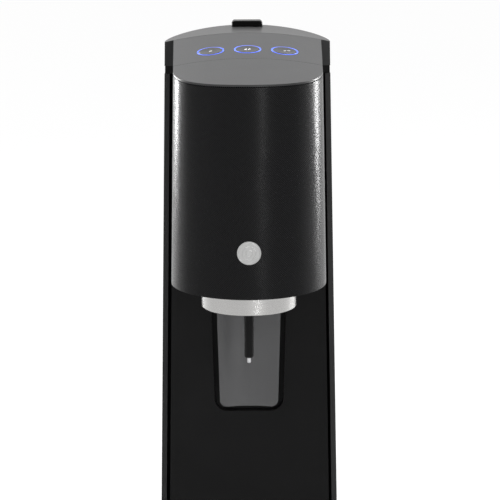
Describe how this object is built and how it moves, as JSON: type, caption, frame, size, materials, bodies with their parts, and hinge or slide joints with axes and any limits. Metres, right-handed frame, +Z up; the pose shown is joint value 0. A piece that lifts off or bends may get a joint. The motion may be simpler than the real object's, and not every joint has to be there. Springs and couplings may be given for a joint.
{
  "type": "soda carbonator",
  "caption": "Slim electric soda carbonator: tall column with an overhanging head, push buttons, a tilting bottle collar, a drip tray and a pull-off rear cover over its gas cylinder.",
  "frame": {"origin": "middle of the footprint, on the surface that it stands on", "axes": "+Z up, -Y is the front where the bottle goes in, +X to the right seen from the front"},
  "size_m": [0.1386, 0.19, 0.4345],
  "materials": {
    "black_gloss": "deep black gloss",
    "cap_satin": "fine satin grain",
    "case_satin": "satin",
    "shroud_grey": "semi-gloss",
    "inner_black": "plain moulded",
    "clear_ring": "lit light guide",
    "satin_chrome": "satin turned",
    "badge_silver": "satin",
    "steel": "plain",
    "rubber_black": "matte",
    "brass": "machined",
    "bush_white": "natural",
    "cylinder_blue": "satin with a coloured lacquer",
    "copper_coil": "lacquered winding",
    "board_green": "circuit board",
    "board_parts": "moulded"
  },
  "bodies": {
    "root": {"base_shell": "black_gloss", "base_plate": "inner_black", "base_screws": "steel", "rubber_feet": "rubber_black", "power_inlet": "board_parts", "spine_frame": "inner_black", "front_panel": "black_gloss", "shroud_recess": "inner_black", "column_side_left": "black_gloss", "column_side_right": "black_gloss", "neck_band": "black_gloss", "top_cover": "case_satin", "head_shell": "black_gloss", "head_floor": "inner_black", "front_visor": "cap_satin", "button_panel": "cap_satin", "badge": "badge_silver", "light_rings": "clear_ring", "button_board": "board_green", "push_switches": "bush_white", "board_lamps": "bush_white", "board_screws": "steel", "chassis_left": "inner_black", "chassis_right": "inner_black", "trunnion_bushes": "bush_white", "gas_cylinder": "cylinder_blue", "cylinder_valve": "brass", "valve_pin": "steel", "cylinder_cradle": "inner_black", "cylinder_seat": "rubber_black", "valve_block": "inner_black", "lever_pins": "steel", "solenoid_frame": "steel", "solenoid_coil": "copper_coil", "safety_valve": "brass", "gas_hose": "rubber_black", "hose_fitting": "inner_black", "control_board": "board_green", "board_parts": "board_parts", "return_spring": "steel"},
    "lock": {"carbonation_head": "inner_black", "trunnion_pins": "steel", "bottle_ring": "satin_chrome", "ring_liner": "inner_black", "bottle_shroud": "shroud_grey", "bottle_seal": "rubber_black", "nozzle_tube": "black_gloss", "nozzle_tip": "steel", "relief_valve": "brass"},
    "cover": {"rear_cover": "case_satin"},
    "tab": {"release_tab": "black_gloss"},
    "lever": {"cylinder_lever": "inner_black"},
    "plunger": {"solenoid_plunger": "steel"},
    "tray": {"drip_tray": "inner_black"},
    "left_button": {"button_left": "cap_satin"},
    "middle_button": {"button_middle": "cap_satin"},
    "right_button": {"button_right": "cap_satin"}
  },
  "joints": [
    {"name": "left_button_press", "type": "slide", "parent": "root", "child": "left_button", "axis": [0.0986, 0.0781, -0.9921], "range_m": [0, 0.001], "stiffness_N_per_m": 300, "springref_m": -0.001},
    {"name": "middle_button_press", "type": "slide", "parent": "root", "child": "middle_button", "axis": [0, 0.0785, -0.9969], "range_m": [0, 0.001], "stiffness_N_per_m": 300, "springref_m": -0.001},
    {"name": "right_button_press", "type": "slide", "parent": "root", "child": "right_button", "axis": [-0.0986, 0.0781, -0.9921], "range_m": [0, 0.001], "stiffness_N_per_m": 300, "springref_m": -0.001},
    {"name": "bottle_lock_tilt", "type": "hinge", "parent": "root", "child": "lock", "pos_m": [0, -0.035, 0.268], "axis": [-1, 0, 0], "range_deg": [0, 15], "stiffness_Nm_per_rad": 0.6, "springref_deg": -14.32},
    {"name": "rear_cover_pull", "type": "slide", "parent": "root", "child": "cover", "axis": [0, 1, 0], "range_m": [0, 0.12]},
    {"name": "release_tab_press", "type": "slide", "parent": "root", "child": "tab", "axis": [0, 0, -1], "range_m": [0, 0.0025], "stiffness_N_per_m": 400, "springref_m": -0.001},
    {"name": "cylinder_lever_swing", "type": "hinge", "parent": "root", "child": "lever", "pos_m": [0, 0.0605, 0.343], "axis": [1, 0, 0], "range_deg": [0, 50]},
    {"name": "plunger_stroke", "type": "slide", "parent": "root", "child": "plunger", "axis": [0, 0, -1], "range_m": [0, 0.0025], "stiffness_N_per_m": 600, "springref_m": -0.002, "deforming": ["return_spring"]},
    {"name": "drip_tray_lift", "type": "slide", "parent": "root", "child": "tray", "axis": [0, 0, 1], "range_m": [0, 0.04]}
  ]
}
